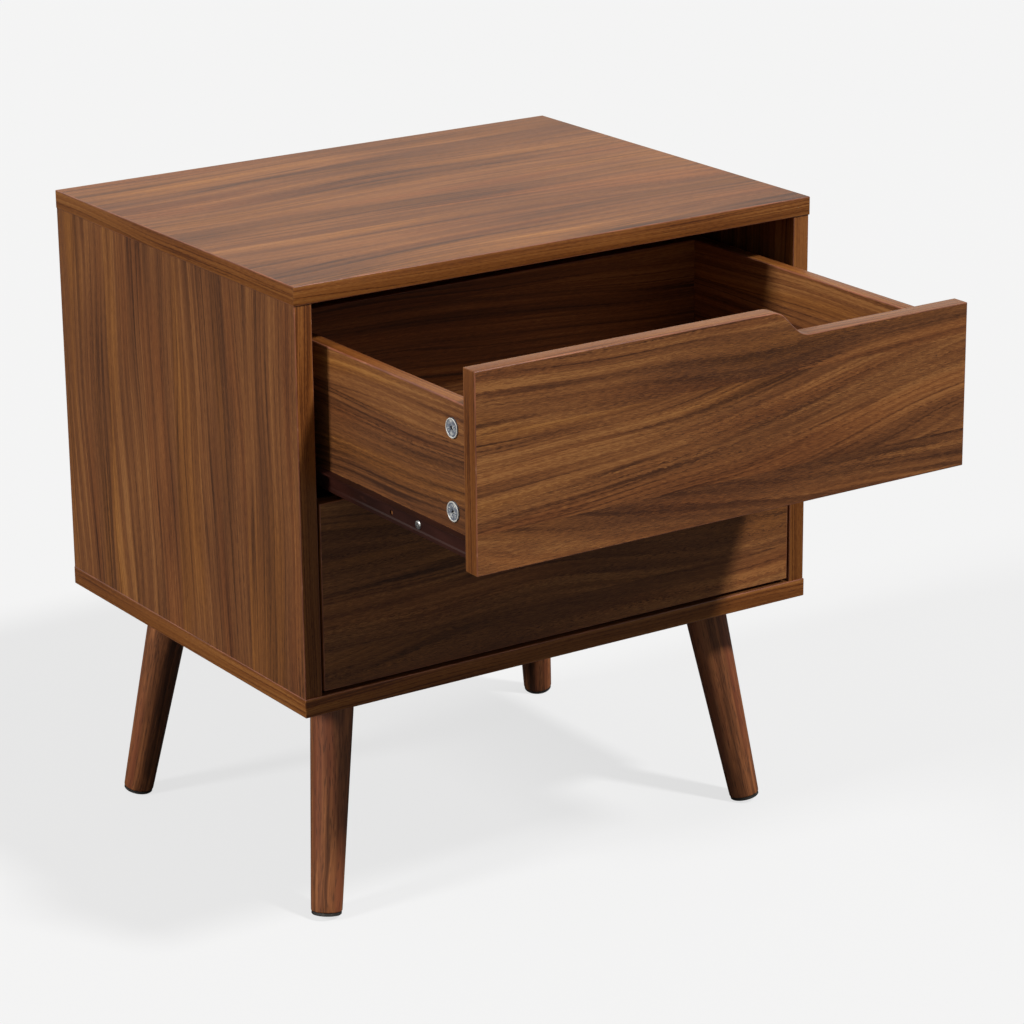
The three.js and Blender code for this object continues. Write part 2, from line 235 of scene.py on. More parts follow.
def walnut_film(name, plank, flame, slant, lively=1.0, contrast=1.0, gloss=0.46, tone=0.0, gold=0.6,
                bands=135.0, patchwork=0.12):
    """Printed walnut film, laid as planks. U runs along the grain and V across it, in metres.

    plank is the width of a plank, flame is how far its growth lines wander, in metres, slant
    is how steeply they may run across it, bands is how many there are to a metre and
    patchwork is how much the planks differ in tone. lively is how broken the grain is,
    contrast is how strong the figure is, tone makes it lighter or darker, gold is how golden
    the warm areas are, and gloss is the roughness of the film's sheen.
    """
    s = Shader(name)
    place = s.uv()
    along, across, _ = s.parts(place)
    middle, depth, lot = planks(s, across, plank)

    # growth lines: contours of a field that rises across the plank and sways along it
    sway = s.noise(s.vector(s.times(along, 3.1), s.times(across, 9.0), depth), AS_IS, 1.2, 0.4)
    field = s.add(middle, s.swing(sway, flame))
    lean = s.swing(lot[0], slant)
    field = s.add(field, s.times(along, lean))

    # short steps, where the print shows the cut ends of the fibres
    fibres = fibre_rows(s, along, across)
    step = s.noise(fibres, (190.0, 1250.0, 1.0), 1.0)
    zone = s.noise(s.vector(s.times(along, 4.0), s.times(across, 17.0), depth), AS_IS, 1.0)
    zone = s.spread(zone, 0.44, 0.62)
    depth_of_step = s.add(0.0005 + 0.0018 * lively, s.times(zone, 0.0085 * lively))
    field = s.add(field, s.swing(step, depth_of_step))

    # tone: broad and fine bands along the growth lines, thin dark lines, fibres and clouds
    broad = s.noise(s.vector(s.times(field, bands), s.times(along, 1.8), depth), AS_IS, 2.0, 0.55)
    fine = s.noise(s.vector(s.times(field, 600.0), s.times(along, 6.0), depth), AS_IS, 2.0, 0.6)
    crest = s.vector(s.times(field, 150.0), s.times(along, 1.6), s.add(depth, 31.0))
    crest = s.noise(crest, AS_IS, 1.0)
    crest = s.maths("ABSOLUTE", s.add(crest, -0.5))
    line = s.spread(crest, 0.0, 0.045, 1.0, 0.0)
    line = s.times(line, s.spread(s.noise(place, (6.0, 30.0, 1.0), 1.0), 0.35, 0.6, 0.3, 1.0))

    fibre = s.noise(fibres, (150.0 + 60.0 * lively, 1900.0, 1.0), 1.5, 0.65)
    cloud = s.noise(place, (3.4, 15.0, 1.0), 2.0)

    value = s.add(0.56 + tone, s.swing(broad, 1.20 * contrast))
    value = s.add(value, s.swing(fine, (1.1 - 0.3 * lively) * contrast))
    value = s.add(value, s.times(line, -0.44 * contrast))
    value = s.add(value, s.swing(fibre, (0.8 + 0.7 * lively) * contrast))
    value = s.add(value, s.swing(cloud, 1.1 * contrast))
    value = s.add(value, s.swing(lot[1], patchwork))
    wood = s.ramp(value, WALNUT)

    hue = s.noise(s.vector(s.times(along, 2.6), s.times(field, 30.0), depth), AS_IS, 2.0)
    wood = redder_and_golder(s, wood, hue, gold)

    # pores: short dark dashes along the fibres, and coarser ones where the figure is lively
    pore = s.spread(s.cells(fibres, (120.0, 1500.0, 1.0)), 0.36, 0.12)
    coarse = s.spread(s.noise(fibres, (210.0, 880.0, 1.0), 1.0), 0.42, 0.32)
    pore = s.maths("MAXIMUM", s.times(pore, 0.35), s.times(s.times(coarse, zone), 0.75 * lively))
    wood = s.mix(pore, wood, WALNUT_DARK)

    roughness = s.add(gloss, s.times(pore, 0.25))
    roughness = s.add(roughness, s.swing(fibre, 0.10))
    s.bump(s.add(s.times(pore, -1.0), s.times(fibre, 0.5)), 0.05 * MM, 0.6)
    return s.finish(wood, roughness, specular=0.22)


def edge_band(name):
    """Striped edge band. U runs along the edge, V through the board's thickness."""
    s = Shader(name)
    place = s.uv()
    along, across, _ = s.parts(place)
    drift = s.noise(place, (4.0, 26.0, 1.0), 1.5)
    step = s.noise(place, (190.0, 1500.0, 1.0), 1.0)
    field = s.add(across, s.swing(drift, 0.016))
    field = s.add(field, s.swing(step, 0.0012))
    stripe = s.noise(s.vector(s.times(field, 330.0), s.times(along, 2.2)), AS_IS, 2.0, 0.6)
    crest = s.noise(s.vector(s.times(field, 260.0), s.times(along, 1.7), 5.0), AS_IS, 1.0)
    line = s.spread(s.maths("ABSOLUTE", s.add(crest, -0.5)), 0.0, 0.04, 1.0, 0.0)
    fibre = s.noise(place, (170.0, 2400.0, 1.0), 2.0, 0.6)
    patch = s.noise(place, (8.0, 60.0, 1.0), 1.0)
    value = s.add(0.54, s.swing(stripe, 1.3))
    value = s.add(value, s.times(line, -0.42))
    value = s.add(value, s.swing(fibre, 0.9))
    value = s.add(value, s.swing(patch, 0.5))
    wood = s.ramp(value, (
        (0.00, colour(74, 38, 15)),
        (0.28, colour(99, 55, 22)),
        (0.52, colour(118, 70, 31)),
        (0.76, colour(132, 84, 40)),
        (1.00, colour(152, 102, 55)),
    ))
    pore = s.spread(s.cells(place, (150.0, 1900.0, 1.0)), 0.30, 0.10)
    wood = s.mix(s.times(pore, 0.4), wood, colour(62, 34, 18))
    s.bump(s.add(s.times(pore, -1.0), s.times(fibre, 0.5)), 0.05 * MM, 0.7)
    return s.finish(wood, s.add(0.4, s.times(pore, 0.15)), specular=0.22)


def band_corner(name, tint, darker):
    """The edge band's rounded corner, slightly scuffed; its pinker brown is partly painted sheen on
    the round.
    """
    s = Shader(name)
    place = s.uv()
    tone = s.noise(place, (30.0, 700.0, 1.0), 2.0)
    scuff = s.spread(s.noise(place, (160.0, 400.0, 1.0), 2.0), 0.58, 0.70)
    # tint and darker are pinker and lighter than the band: the band's colour with painted sheen on
    # the rounded edge
    film = s.mix(s.spread(tone, 0.35, 0.65), darker, tint)
    film = s.mix(s.times(scuff, 0.25), film, colour(170, 126, 98))
    s.bump(s.add(tone, scuff), 0.03 * MM, 0.6)
    return s.finish(film, s.add(0.36, s.times(scuff, 0.2)), specular=0.3)


def particle_board(name):
    """The raw core, where a bore cuts into a board."""
    s = Shader(name)
    place = s.local()
    chip = s.cells(place, (420.0, 420.0, 420.0))
    grit = s.noise(place, (900.0, 900.0, 900.0), 3.0)
    wood = s.ramp(s.add(chip, s.times(grit, 0.4)), (
        (0.2, colour(92, 66, 42)),
        (0.6, colour(142, 110, 76)),
        (1.0, colour(172, 142, 104)),
    ))
    s.bump(grit, 0.3 * MM)
    return s.finish(wood, s.spread(grit, 0.2, 0.8, 0.75, 0.95))


def turned_wood(name):
    """Stained solid wood with its grain along the piece's own Z axis."""
    s = Shader(name)
    place = s.local()
    sway = s.noise(place, (6.0, 6.0, 9.0), 1.0)
    x, y, z = s.parts(place)
    x = s.add(x, s.swing(sway, 0.012))
    fibres = s.vector(x, y, z)
    ring = s.noise(fibres, (95.0, 95.0, 2.2), 2.0, 0.5)
    streak = s.noise(fibres, (330.0, 330.0, 5.0), 3.0, 0.6)
    fine = s.noise(fibres, (1300.0, 1300.0, 24.0), 2.0, 0.6)
    value = s.add(0.47, s.swing(ring, 1.5))
    value = s.add(value, s.swing(streak, 1.1))
    value = s.add(value, s.swing(fine, 0.5))
    wood = s.ramp(value, (
        (0.0, colour(54, 30, 18)),
        (0.3, colour(84, 49, 29)),
        (0.55, colour(120, 73, 44)),
        (0.8, colour(150, 95, 58)),
        (1.0, colour(170, 114, 74)),
    ))
    hue = s.noise(fibres, (70.0, 70.0, 3.0), 1.0)
    wood = s.mix(s.spread(hue, 0.5, 0.68, 0.0, 0.6), wood, colour(112, 58, 38))
    pore = s.spread(s.cells(fibres, (900.0, 900.0, 65.0)), 0.34, 0.16)
    wood = s.mix(s.times(pore, 0.6), wood, colour(40, 23, 15))
    s.bump(s.add(s.times(pore, -1.0), s.times(fine, 0.6)), 0.08 * MM, 0.8)
    return s.finish(wood, s.add(0.42, s.times(pore, 0.2)), specular=0.3)


# ---------------------------------------------------------------------------
# metal and plastic
# ---------------------------------------------------------------------------

def powder_coat(name):
    """Dark brown baked coating with a fine orange peel."""
    s = Shader(name)
    place = s.local()
    peel = s.noise(place, (700.0, 700.0, 700.0), 2.0)
    tone = s.noise(place, (40.0, 14.0, 40.0), 2.0)
    coat = s.mix(s.spread(tone, 0.3, 0.7), colour(34, 15, 11), colour(52, 25, 19))
    worn = s.spread(s.noise(place, (260.0, 60.0, 260.0), 3.0, 0.65), 0.62, 0.70)
    coat = s.mix(s.times(worn, 0.2), coat, colour(82, 48, 36))
    s.bump(peel, 0.08 * MM, 0.6)
    return s.finish(coat, s.spread(tone, 0.3, 0.7, 0.34, 0.46), specular=0.15)


def nylon(name):
    """Off-white roller plastic with darker, dirtier patches."""
    s = Shader(name)
    place = s.local()
    dirt = s.noise(place, (160.0, 160.0, 160.0), 3.0, 0.6)
    fine = s.noise(place, (1200.0, 1200.0, 1200.0), 2.0)
    tint = s.mix(s.spread(dirt, 0.42, 0.72), colour(214, 208, 196), colour(170, 160, 144))
    s.bump(fine, 0.03 * MM)
    s.bsdf.inputs["Subsurface Weight"].default_value = 0.12
    s.bsdf.inputs["Subsurface Radius"].default_value = (0.002, 0.0016, 0.0012)
    return s.finish(tint, s.spread(dirt, 0.3, 0.7, 0.42, 0.58))


def cast_zinc(name, dull, bright):
    """Cast metal with a grainy skin: the raised parts of a cam's face painted bright as a highlight,
    the rest dull. For the cross recess it takes dark colours, as painted shade.
    """
    s = Shader(name)
    place = s.local()
    grain = s.noise(place, (1700.0, 1700.0, 1700.0), 3.0, 0.65)
    cloud = s.noise(place, (260.0, 260.0, 260.0), 2.0)
    # painted highlight: the rim and the marks, the highest parts of a cam's face, take the bright
    # colour
    raised = s.spread(s.parts(place)[2], -0.28 * MM, -0.16 * MM)
    metal = s.mix(s.maths("MAXIMUM", raised, s.spread(cloud, 0.45, 0.75)), dull, bright)
    pits = s.spread(grain, 0.40, 0.30)
    metal = s.mix(s.times(pits, 0.5), metal, colour(84, 86, 94))
    s.bump(grain, 0.08 * MM)
    return s.finish(metal, s.spread(cloud, 0.3, 0.7, 0.26, 0.44), metallic=0.45)


def plated_steel(name):
    """Bright plated steel with faint swirl marks."""
    s = Shader(name)
    place = s.local()
    grain = s.noise(place, (900.0, 900.0, 2600.0), 3.0)
    cloud = s.noise(place, (500.0, 500.0, 500.0), 2.0)
    metal = s.mix(s.spread(cloud, 0.3, 0.7), colour(176, 178, 184), colour(224, 222, 216))
    s.bump(grain, 0.03 * MM)
    return s.finish(metal, s.spread(grain, 0.3, 0.7, 0.2, 0.36), metallic=1.0)


def black_plastic(name):
    """Matt black glide plastic, dusty underneath."""
    s = Shader(name)
    place = s.local()
    dust = s.noise(place, (300.0, 300.0, 300.0), 3.0, 0.6)
    tint = s.mix(s.spread(dust, 0.5, 0.75), colour(24, 23, 22), colour(58, 55, 51))
    s.bump(s.noise(place, (1500.0, 1500.0, 1500.0), 2.0), 0.05 * MM)
    return s.finish(tint, s.spread(dust, 0.3, 0.7, 0.5, 0.72))


FRONT_FILM = walnut_film("walnut_front_film", plank=0.073, flame=0.066, slant=0.36, contrast=1.08)
PANEL_FILM = walnut_film("walnut_panel_film", plank=0.110, flame=0.042, slant=0.06, lively=0.4,
                         contrast=0.90, gold=0.9)
BOX_FILM = walnut_film("walnut_box_film", plank=0.066, flame=0.030, slant=0.10, lively=0.4,
                       contrast=1.05, tone=-0.06, gold=1.0, bands=230.0, patchwork=0.45)
INNER_FILM = walnut_film("walnut_inner_film", plank=0.120, flame=0.050, slant=0.15, gloss=0.55,
                         tone=-0.06)
BAND = edge_band("walnut_edge_band")
# the rounded corner's pinkish browns are partly painted sheen
BAND_CORNER = band_corner("edge_band_corner_and_sheen", colour(134, 82, 58), colour(102, 60, 43))
CORE = particle_board("particle_board_core")
LEG_WOOD = turned_wood("leg_wood")
RAIL_COAT = powder_coat("rail_coating")
ROLLER_NYLON = nylon("roller_nylon")
# the cams: bright is also the painted highlight on their raised rim and marks
CAM_ZINC = cast_zinc("cam_zinc", colour(128, 135, 150), colour(232, 232, 228))
# the cross recess: dark colours, painted shade in the hollow
RECESS_SHADE = cast_zinc("cam_recess_painted_shade", colour(34, 34, 38), colour(58, 58, 62))
SCREW_STEEL = plated_steel("screw_steel")
PAD_BLACK = black_plastic("pad_plastic")


# ---------------------------------------------------------------------------
# shared by the pieces
# ---------------------------------------------------------------------------

RIGHT_ANGLE = math.pi / 2


def placed(name, data):
    """A new object in the scene."""
    made = bpy.data.objects.new(name, data)
    bpy.context.scene.collection.objects.link(made)
    return made


def mesh_data(name, mesh, *materials):
    """The finished mesh of a bmesh, with its materials."""
    data = bpy.data.meshes.new(name)
    mesh.to_mesh(data)
    mesh.free()
    for material in materials:
        data.materials.append(material)
    return data


def cut_out(piece, tool, own_overlaps=False):
    """Cuts the tool's shape from a piece; the cut faces take the tool's material."""
    modifier = piece.modifiers.new("cut", "BOOLEAN")
    modifier.operation = "DIFFERENCE"
    modifier.solver = "EXACT"
    modifier.use_self = own_overlaps
    modifier.material_mode = "TRANSFER"
    modifier.object = tool


def applied(piece):
    """A piece's mesh with its modifiers applied."""
    bpy.context.view_layer.update()
    graph = bpy.context.evaluated_depsgraph_get()
    return bpy.data.meshes.new_from_object(piece.evaluated_get(graph))


# ---------------------------------------------------------------------------
# laminated boards
# ---------------------------------------------------------------------------

ARRIS_STEPS = 3
SHARP_TURN = math.radians(60)
FILM_FACE, BAND_FACE, CORNER_FACE = 0, 1, 2


def turned_corner(before, corner, after, radius):
    """Points of the small arc that rounds a right-angled corner."""
    back = (before - corner).normalized()
    ahead = (after - corner).normalized()
    centre = corner + (back + ahead) * radius
    points = []
    for i in range(ARRIS_STEPS + 1):
        angle = RIGHT_ANGLE * i / ARRIS_STEPS
        points.append(centre - ahead * radius * math.cos(angle) - back * radius * math.sin(angle))
    return points


def eased(outline, radius):
    """The outline with its right-angled corners rounded; gentler bends stay as they are."""
    result = []
    for i, corner in enumerate(outline):
        before = outline[i - 1]
        after = outline[(i + 1) % len(outline)]
        turn = (corner - before).angle(after - corner)
        if turn > SHARP_TURN:
            result.extend(turned_corner(before, corner, after, radius))
        else:
            result.append(corner)
    return result


def shrunk(outline, by):
    """The outline moved inwards by the same distance all round."""
    area = sum(a.cross(b) for a, b in zip(outline, outline[1:] + outline[:1]))
    inward = 1 if area > 0 else -1
    result = []
    for i, corner in enumerate(outline):
        ahead = (outline[(i + 1) % len(outline)] - corner).normalized()
        back = (corner - outline[i - 1]).normalized()
        normal_a = Vector((-back.y, back.x)) * inward
        normal_b = Vector((-ahead.y, ahead.x)) * inward
        miter = (normal_a + normal_b).normalized()
        result.append(corner + miter * by / max(0.3, miter.dot(normal_a)))
    return result


def edge_levels(around, ease, low, high):
    """The outline at each level of a board's edge: the arris, the upright edge, the arris."""
    rings = []
    for i in range(ARRIS_STEPS + 1):
        angle = RIGHT_ANGLE * i / ARRIS_STEPS
        rings.append((shrunk(around, ease * (1 - math.sin(angle))), ease * (1 - math.cos(angle))))
    depth = high - low
    lower = [(ring, low + rise) for ring, rise in rings]
    upper = [(ring, low + depth - rise) for ring, rise in rings[::-1]]
    return lower + upper


def wrap_edge(mesh, uv, loops, rises, around, start):
    """The faces round a board's edge, with U along the outline and V through the board."""
    count = len(around)
    travelled = [0.0]
    for i in range(count):
        travelled.append(travelled[-1] + (around[(i + 1) % count] - around[i]).length)
    for k, (lower, upper) in enumerate(zip(loops, loops[1:])):
        upright = k == ARRIS_STEPS
        for i in range(count):
            j = (i + 1) % count
            face = mesh.faces.new((lower[i], lower[j], upper[j], upper[i]))
            face.material_index = BAND_FACE if upright else CORNER_FACE
            face.smooth = True
            places = (
                (travelled[i], rises[k]),
                (travelled[i + 1], rises[k]),
                (travelled[i + 1], rises[k + 1]),
                (travelled[i], rises[k + 1]),
            )
            for loop, (u, v) in zip(face.loops, places):
                loop[uv].uv = (u + start[0], v + start[1])


def lay_film(mesh, uv, faces, corner, along, other, start):
    """A board's two faces, each cut from another part of the film."""
    for index, ring in enumerate(faces):
        cap = mesh.faces.new(ring)
        cap.material_index = FILM_FACE
        for loop in cap.loops:
            co = loop.vert.co
            u = co[along] - corner[along] + start[0] + 2.1 * index
            v = co[other] - corner[other] + start[1] + 0.6 * index
            loop[uv].uv = (u, v)


def board(name, outline, low, high, plane, grain, film, start, ease=0.7 * MM, cuts=()):
    """A laminated panel: film on both faces, edge band round the outline, rounded arrises.

    plane names the outline's two axes and then the thickness axis, such as "xzy". grain is
    the axis that the film's grain follows, and start is where on the film it is cut from.
    """
    a, b, t = (AXES[letter] for letter in plane)
    outline = [Vector(point) for point in outline]
    around = eased(outline, ease)
    levels = edge_levels(around, ease, low, high)

    mesh = bmesh.new()
    uv = mesh.loops.layers.uv.new("UVMap")

    def point(place, level):
        co = Vector((0, 0, 0))
        co[a], co[b], co[t] = place.x, place.y, level
        return mesh.verts.new(co)

    loops = [[point(place, level) for place in ring] for ring, level in levels]
    rises = [level - low for _, level in levels]
    wrap_edge(mesh, uv, loops, rises, around, start)

    along = AXES[grain]
    other = b if along == a else a
    corner = {a: min(p.x for p in outline), b: min(p.y for p in outline)}
    lay_film(mesh, uv, (loops[0], loops[-1]), corner, along, other, start)

    bmesh.ops.recalc_face_normals(mesh, faces=mesh.faces)
    piece = placed(name, mesh_data(name, mesh, film, BAND, BAND_CORNER, CORE))
    if cuts:
        drill(piece, cuts)
    return piece


def drill(piece, cuts):
    """Bores round holes along X: each cut is (centre, radius, length)."""
    mesh = bmesh.new()
    for centre, radius, length in cuts:
        turn = Matrix.Translation(centre) @ Matrix.Rotation(RIGHT_ANGLE, 4, "Y")
        bmesh.ops.create_cone(mesh, cap_ends=True, segments=48, radius1=radius, radius2=radius,
                              depth=length, matrix=turn)
    tool = placed("bores", mesh_data("bores", mesh, CORE))
    cut_out(piece, tool)
    result = applied(piece)
    piece.modifiers.clear()
    piece.data = result
    bpy.data.objects.remove(tool)


def rectangle(node, plane):
    """The outline and thickness of a CAD node's box, in the given plane."""
    low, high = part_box(node)
    a, b, t = (AXES[letter] for letter in plane)
    outline = [(low[a], low[b]), (high[a], low[b]), (high[a], high[b]), (low[a], high[b])]
    return outline, low[t], high[t]


def panel(node, body, plane, grain, film, start, ease=0.7 * MM, tuck=0.0):
    """A board that takes a box-shaped CAD node's place.

    tuck pushes its ends, along the grain, into the boards they meet, for a sharp joint.
    """
    outline, low, high = rectangle(node, plane)
    if tuck:
        middle = (outline[0][1] + outline[2][1]) / 2
        outline = [(a, b + math.copysign(tuck, b - middle)) for a, b in outline]
    piece = board(node + "_laminated", outline, low, high, plane, grain, film, start, ease)
    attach(piece, body)
    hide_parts(node)


# ---------------------------------------------------------------------------
# cabinet
# ---------------------------------------------------------------------------

JOINT_TUCK = 1.5 * MM

panel("top_board", "cabinet", "xyz", "x", PANEL_FILM, (0.8, 1.4))
panel("bottom_board", "cabinet", "xyz", "x", PANEL_FILM, (1.7, 2.7))
panel("side_panel_left", "cabinet", "yzx", "z", PANEL_FILM, (2.5, 4.1), tuck=JOINT_TUCK)
panel("side_panel_right", "cabinet", "yzx", "z", PANEL_FILM, (3.3, 5.5), tuck=JOINT_TUCK)
panel("back_panel", "cabinet", "xzy", "z", INNER_FILM, (4.2, 6.9), ease=0.4 * MM)


# ---------------------------------------------------------------------------
# drawers
# ---------------------------------------------------------------------------

def wave_outline(node):
    """A drawer front seen from the front: high on the left, a wave down to the finger grip.

    The wave is an arc over the crest, a straight slope of 45 degrees and an arc at the foot.
    """
    low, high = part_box(node)
    drop = 21 * MM
    start = low.x + 259 * MM
    crest = 17 * MM
    foot = 18 * MM
    slope = drop - (crest + foot) * (1 - math.sqrt(0.5))
    end = start + (crest + foot) * math.sqrt(0.5) + slope
    points = [(low.x, low.z), (high.x, low.z), (high.x, high.z - drop)]
    steps = 12
    for i in range(steps + 1):
        angle = math.pi / 4 * i / steps
        points.append((end - foot * math.sin(angle), high.z - drop + foot * (1 - math.cos(angle))))
    for i in range(steps, -1, -1):
        angle = math.pi / 4 * i / steps
        points.append((start + crest * math.sin(angle), high.z - crest * (1 - math.cos(angle))))
    points.append((low.x, high.z))
    return points, low.y, high.y


BORE_ROOM = 0.3 * MM


def drawer_front(level, start):
    """A drawer front with the wave in its top edge."""
    node = f"{level}_drawer_front"
    outline, near, far = wave_outline(node)
    piece = board(node + "_laminated", outline, near, far, "xzy", "x", FRONT_FILM, start)
    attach(piece, f"{level}_drawer")
    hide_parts(node)


def drawer_side(level, word, start):
    """A drawer side with the bores that hold its cams."""
    node = f"{level}_drawer_side_{word}"
    outline, low, high = rectangle(node, "yzx")
    bores = []
    for place in ("bottom", "top"):
        cam_low, cam_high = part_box(f"{level}_cam_{word}_{place}")
        centre = (cam_low + cam_high) / 2
        radius = (cam_high.z - cam_low.z) / 2 + BORE_ROOM
        length = cam_high.x - cam_low.x + 2 * BORE_ROOM
        bores.append((centre, radius, length))
    piece = board(node + "_laminated", outline, low, high, "yzx", "y", BOX_FILM, start,
                  ease=1.0 * MM, cuts=bores)
    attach(piece, f"{level}_drawer")
    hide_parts(node)


# where on the film the boards are cut from, so that the planks' joints fall as on the real one
FRONT_STARTS = {"upper": (19.3, 7.489), "lower": (25.5, 9.971)}
SIDE_STARTS = {"upper": 10.809, "lower": 13.515}

for order, level in enumerate(LEVELS):
    body = f"{level}_drawer"
    across = 10.0 + 3.0 * order
    drawer_front(level, FRONT_STARTS[level])
    panel(f"{level}_drawer_back", body, "xzy", "x", BOX_FILM, (2.2, across))
    panel(f"{level}_drawer_bottom", body, "xyz", "x", INNER_FILM, (4.7, across),
          ease=0.3 * MM)
    for word, side in SIDES:
        drawer_side(level, word, (7.0 + side, SIDE_STARTS[level]))


# ---------------------------------------------------------------------------
# slides, screws and cams
# ---------------------------------------------------------------------------

def dress(node, material, width):
    """A CAD node with its own material and softened edges."""
    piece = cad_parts[node]
    piece.data.materials.clear()
    piece.data.materials.append(material)
    modifier = piece.modifiers.new("soft_edges", "BEVEL")
    modifier.width = width
    modifier.segments = 2
    modifier.limit_method = "ANGLE"
    modifier.angle_limit = math.radians(40)
    modifier.harden_normals = True


def lathe(mesh, profile):
    """Turns a profile of (radius, height) points about Z, closed at both ends."""
    segments = 64
    rings = []
    for radius, height in profile:
        ring = []
        for i in range(segments):
            angle = 2 * math.pi * i / segments
            ring.append(mesh.verts.new((radius * math.cos(angle), radius * math.sin(angle), height)))
        rings.append(ring)
    for lower, upper in zip(rings, rings[1:]):
        for i in range(segments):
            j = (i + 1) % segments
            mesh.faces.new((lower[i], lower[j], upper[j], upper[i]))
    mesh.faces.new(rings[0][::-1])
    mesh.faces.new(rings[-1])


def bar(mesh, centre, turn, length, width, low, high, taper=1.0):
    """A bar lying in the XY plane, narrower at the end that taper shrinks."""
    across = Vector((-math.sin(turn), math.cos(turn), 0)) * width / 2
    along = Vector((math.cos(turn), math.sin(turn), 0)) * length / 2
    middle = Vector((centre[0], centre[1], 0))
    rings = []
    for height, scale in ((low, taper), (high, 1.0)):
        corners = (-along - across, along - across, along + across, -along + across)
        rings.append([mesh.verts.new(middle + c * scale + Vector((0, 0, height))) for c in corners])
    lower, upper = rings
    mesh.faces.new(lower[::-1])
    mesh.faces.new(upper)
    for i in range(4):
        j = (i + 1) % 4
        mesh.faces.new((lower[i], lower[j], upper[j], upper[i]))


def mesh_object(name, mesh, material):
    """An object from a bmesh, with its faces turned outwards."""
    bmesh.ops.recalc_face_normals(mesh, faces=mesh.faces)
    return placed(name, mesh_data(name, mesh, material))


CAM_RIM = 0.45 * MM
CAM_SUNK = 0.3 * MM


def cam_casting(radius, depth):
    """A cam's body: a drum with a flange, a narrow rim and a sunken face inside it."""
    solid = bmesh.new()
    lathe(solid, (
        (radius - 0.4 * MM, -depth),
        (radius - 0.1 * MM, -depth + 0.3 * MM),
        (radius - 0.1 * MM, -1.1 * MM),
        (radius, -1.0 * MM),
        (radius, -0.3 * MM),
        (radius - 0.1 * MM, -0.08 * MM),
        (radius - 0.3 * MM, 0.0),
        (radius - 0.3 * MM - CAM_RIM, 0.0),
        (radius - 0.45 * MM - CAM_RIM, -0.08 * MM),
        (radius - 0.55 * MM - CAM_RIM, -CAM_SUNK),
    ))
    return mesh_object("cam_body", solid, CAM_ZINC)


def cross_recess():
    """The shape that the screwdriver's cross leaves in a cam; its dark material, painted shade,
    passes to the cut faces.
    """
    recess = bmesh.new()
    for turn in (math.radians(45), math.radians(135)):
        bar(recess, (0, 0), turn, length=4.6 * MM, width=1.1 * MM, low=-3.5 * MM, high=1.0 * MM,
            taper=0.55)
    return mesh_object("cam_recess_painted_shade", recess, RECESS_SHADE)


def soften(piece):
    """Small rounded edges on a casting."""
    bevel = piece.modifiers.new("bevel", "BEVEL")
    bevel.width = 0.08 * MM
    bevel.segments = 2
    bevel.limit_method = "ANGLE"
    bevel.angle_limit = math.radians(50)


def add_quarter_marks(mesh):
    """Eight raised bars on a cam's face, in pairs at the quarters."""
    reach = 4.1 * MM
    for i in range(4):
        turn = RIGHT_ANGLE * i
        for offset in (-1.0 * MM, 1.0 * MM):
            centre = (
                reach * math.cos(turn) - offset * math.sin(turn),
                reach * math.sin(turn) + offset * math.cos(turn),
            )
            bar(mesh, centre, turn, length=1.9 * MM, width=0.7 * MM, low=-0.12 * MM,
                high=-CAM_SUNK - 0.2 * MM, taper=0.75)


def add_rim_teeth(mesh, radius):
    """Five small teeth along one part of a cam's rim."""
    reach = radius - 0.15 * MM
    for i in range(5):
        turn = math.radians(200 + 13 * i)
        centre = (math.cos(turn) * reach, math.sin(turn) * reach)
        bar(mesh, centre, turn, length=0.7 * MM, width=0.8 * MM, low=0.16 * MM, high=-0.9 * MM,
            taper=0.6)


def cam_mesh(radius, depth):
    """A cam's casting, with its cross recess, quarter marks and rim teeth.

    Its axis is Z, with the face upwards and the flange's top at 0.
    """
    body = cam_casting(radius, depth)
    cutter = cross_recess()
    cut_out(body, cutter, own_overlaps=True)
    soften(body)
    result = applied(body)
    bpy.data.objects.remove(body)
    bpy.data.objects.remove(cutter)

    marks = bmesh.new()
    marks.from_mesh(result)
    add_quarter_marks(marks)
    add_rim_teeth(marks, radius)
    bmesh.ops.recalc_face_normals(marks, faces=marks.faces)
    marks.to_mesh(result)
    marks.free()
    return result


cam_low, cam_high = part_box("upper_cam_left_top")
CAM_MESH = cam_mesh((cam_high.z - cam_low.z) / 2, cam_high.x - cam_low.x)


def cam(level, word, side, place, turn):
    """One cam in its bore, its face outwards and its cross turned as it was tightened."""
    node = f"{level}_cam_{word}_{place}"
    low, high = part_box(node)
    centre = (low + high) / 2
    face = Vector((low.x if side < 0 else high.x, centre.y, centre.z))
    piece = placed(node + "_cast", CAM_MESH)
    lying = Matrix.Rotation(side * RIGHT_ANGLE, 4, "Y")
    piece.matrix_world = Matrix.Translation(face) @ lying @ Matrix.Rotation(turn, 4, "Z")
    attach(piece, f"{level}_drawer")
    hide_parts(node)


SLIDE_EDGE = 0.25 * MM
SCREW_EDGE = 0.12 * MM

for level in LEVELS:
    for word, side in SIDES:
        dress(f"{level}_drawer_rail_{word}", RAIL_COAT, SLIDE_EDGE)
        dress(f"{level}_case_rail_{word}", RAIL_COAT, SLIDE_EDGE)
        dress(f"{level}_drawer_roller_{word}", ROLLER_NYLON, SLIDE_EDGE)
        dress(f"{level}_case_roller_{word}", ROLLER_NYLON, SLIDE_EDGE)
        dress(f"{level}_rail_screw_{word}", SCREW_STEEL, SCREW_EDGE)
        cam(level, word, side, "top", math.radians(20))
        cam(level, word, side, "bottom", math.radians(-15))


# ---------------------------------------------------------------------------
# legs
# ---------------------------------------------------------------------------

LEG_SPLAY = 0.152
LEG_FOOT_RADIUS = 12.5 * MM
LEG_TOP_RADIUS = 17.75 * MM
LEG_EASE = 1.2 * MM
LEG_SEGMENTS = 72
EASE_STEPS = 4
SHAFT_RINGS = 24
SHAFT_SHORT_OF_TOP = 9 * MM
PAD_EDGE = 0.2 * MM
# in millimetres: half of the pad's thickness, and the gap between pad and foot
PAD_TO_FOOT = 1.25 + 0.05


